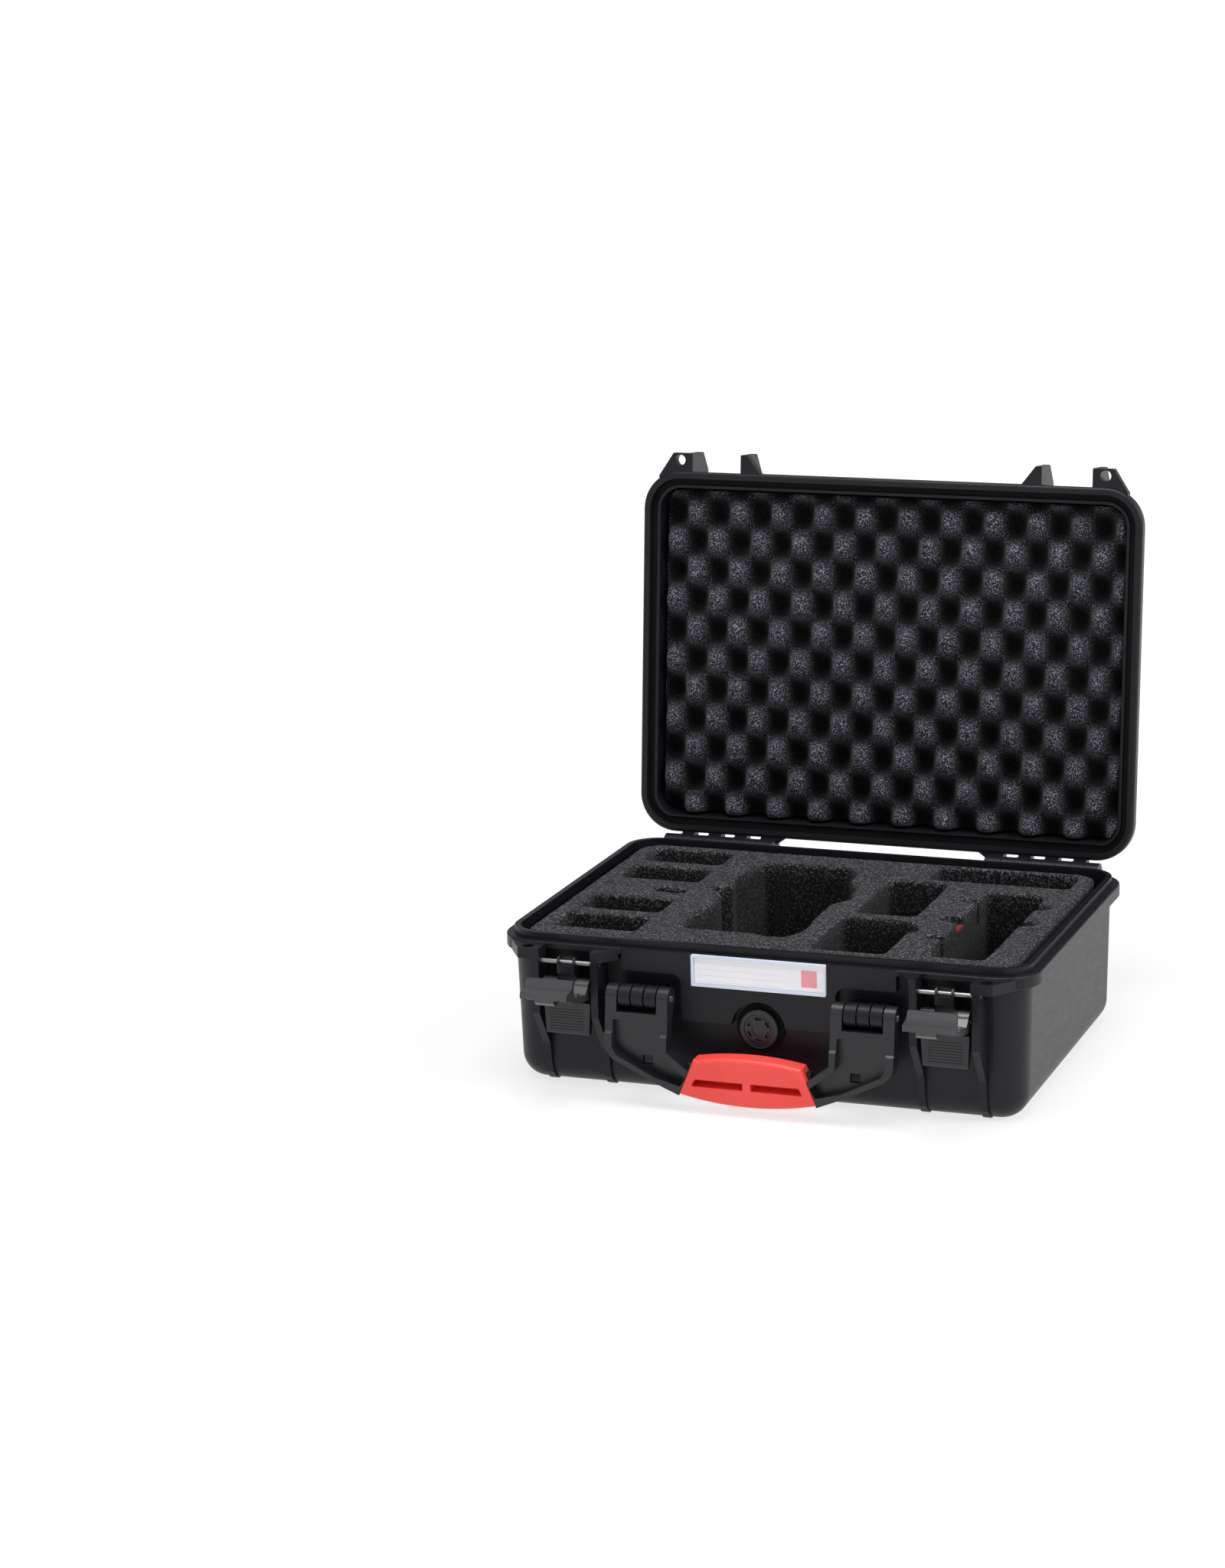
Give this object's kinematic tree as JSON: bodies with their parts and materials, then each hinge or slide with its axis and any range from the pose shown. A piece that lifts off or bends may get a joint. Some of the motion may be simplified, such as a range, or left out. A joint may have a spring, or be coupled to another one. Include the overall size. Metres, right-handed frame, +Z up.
{
  "type": "drone carrying case",
  "caption": "Hard hinged carrying case with foam pockets, over-centre latches, folding handle and pressure valve, shown open.",
  "frame": {"origin": "centre of the base's flat underside", "axes": "+X to the case's right seen from the front, -Y towards the front with the handle, +Z up"},
  "size_m": [0.43, 0.453, 0.4425],
  "materials": {
    "shell": "fine textured black resin",
    "hardware_plastic": "satin dark grey resin",
    "grip": "satin coral red resin",
    "foam": "open-cell charcoal foam, light speckle",
    "foam_red": "red foam",
    "steel": "drawn steel pin",
    "rubber": "black rubber",
    "holder": "clear white plastic",
    "card": "plain white card",
    "window": "thin clear sheet"
  },
  "bodies": {
    "base": {"base_shell": "shell", "base_foam": "foam", "foam_notch_pads": "foam_red", "valve_body": "hardware_plastic", "valve_cap": "hardware_plastic", "valve_seal": "rubber", "valve_nut": "hardware_plastic", "label_holder": "holder", "label_card": "card", "label_window": "window", "hinge_pin_left": "steel", "hinge_pin_right": "steel", "latch_pivot_pin_left": "steel", "latch_pivot_pin_right": "steel", "handle_pin_left": "steel", "handle_pin_right": "steel"},
    "lid": {"lid_shell": "shell", "lid_foam": "foam", "lid_gasket": "rubber"},
    "lever_left": {"latch_lever_left": "hardware_plastic", "latch_link_pin_left": "steel"},
    "lever_right": {"latch_lever_right": "hardware_plastic", "latch_link_pin_right": "steel"},
    "claw_left": {"latch_claw_left": "hardware_plastic"},
    "claw_right": {"latch_claw_right": "hardware_plastic"},
    "handle": {"handle_frame": "hardware_plastic", "handle_grip": "grip"}
  },
  "joints": [
    {"name": "lid_hinge", "type": "hinge", "parent": "base", "child": "lid", "pos_m": [0, 0.163, 0.1135], "axis": [1, 0, 0], "range_deg": [0, 96]},
    {"name": "lever_left_pivot", "type": "hinge", "parent": "base", "child": "lever_left", "pos_m": [-0.1514, -0.1615, 0.1055], "axis": [1, 0, 0], "range_deg": [-100, 0]},
    {"name": "lever_right_pivot", "type": "hinge", "parent": "base", "child": "lever_right", "pos_m": [0.1514, -0.1615, 0.1055], "axis": [1, 0, 0], "range_deg": [-100, 0]},
    {"name": "claw_left_pivot", "type": "hinge", "parent": "lever_left", "child": "claw_left", "pos_m": [-0.1514, -0.161, 0.085], "axis": [-1, 0, 0], "range_deg": [0, 81]},
    {"name": "claw_right_pivot", "type": "hinge", "parent": "lever_right", "child": "claw_right", "pos_m": [0.1514, -0.161, 0.085], "axis": [-1, 0, 0], "range_deg": [0, 81]},
    {"name": "handle_pivot", "type": "hinge", "parent": "base", "child": "handle", "pos_m": [0, -0.1655, 0.0842], "axis": [-1, 0, 0], "range_deg": [0, 110]}
  ]
}
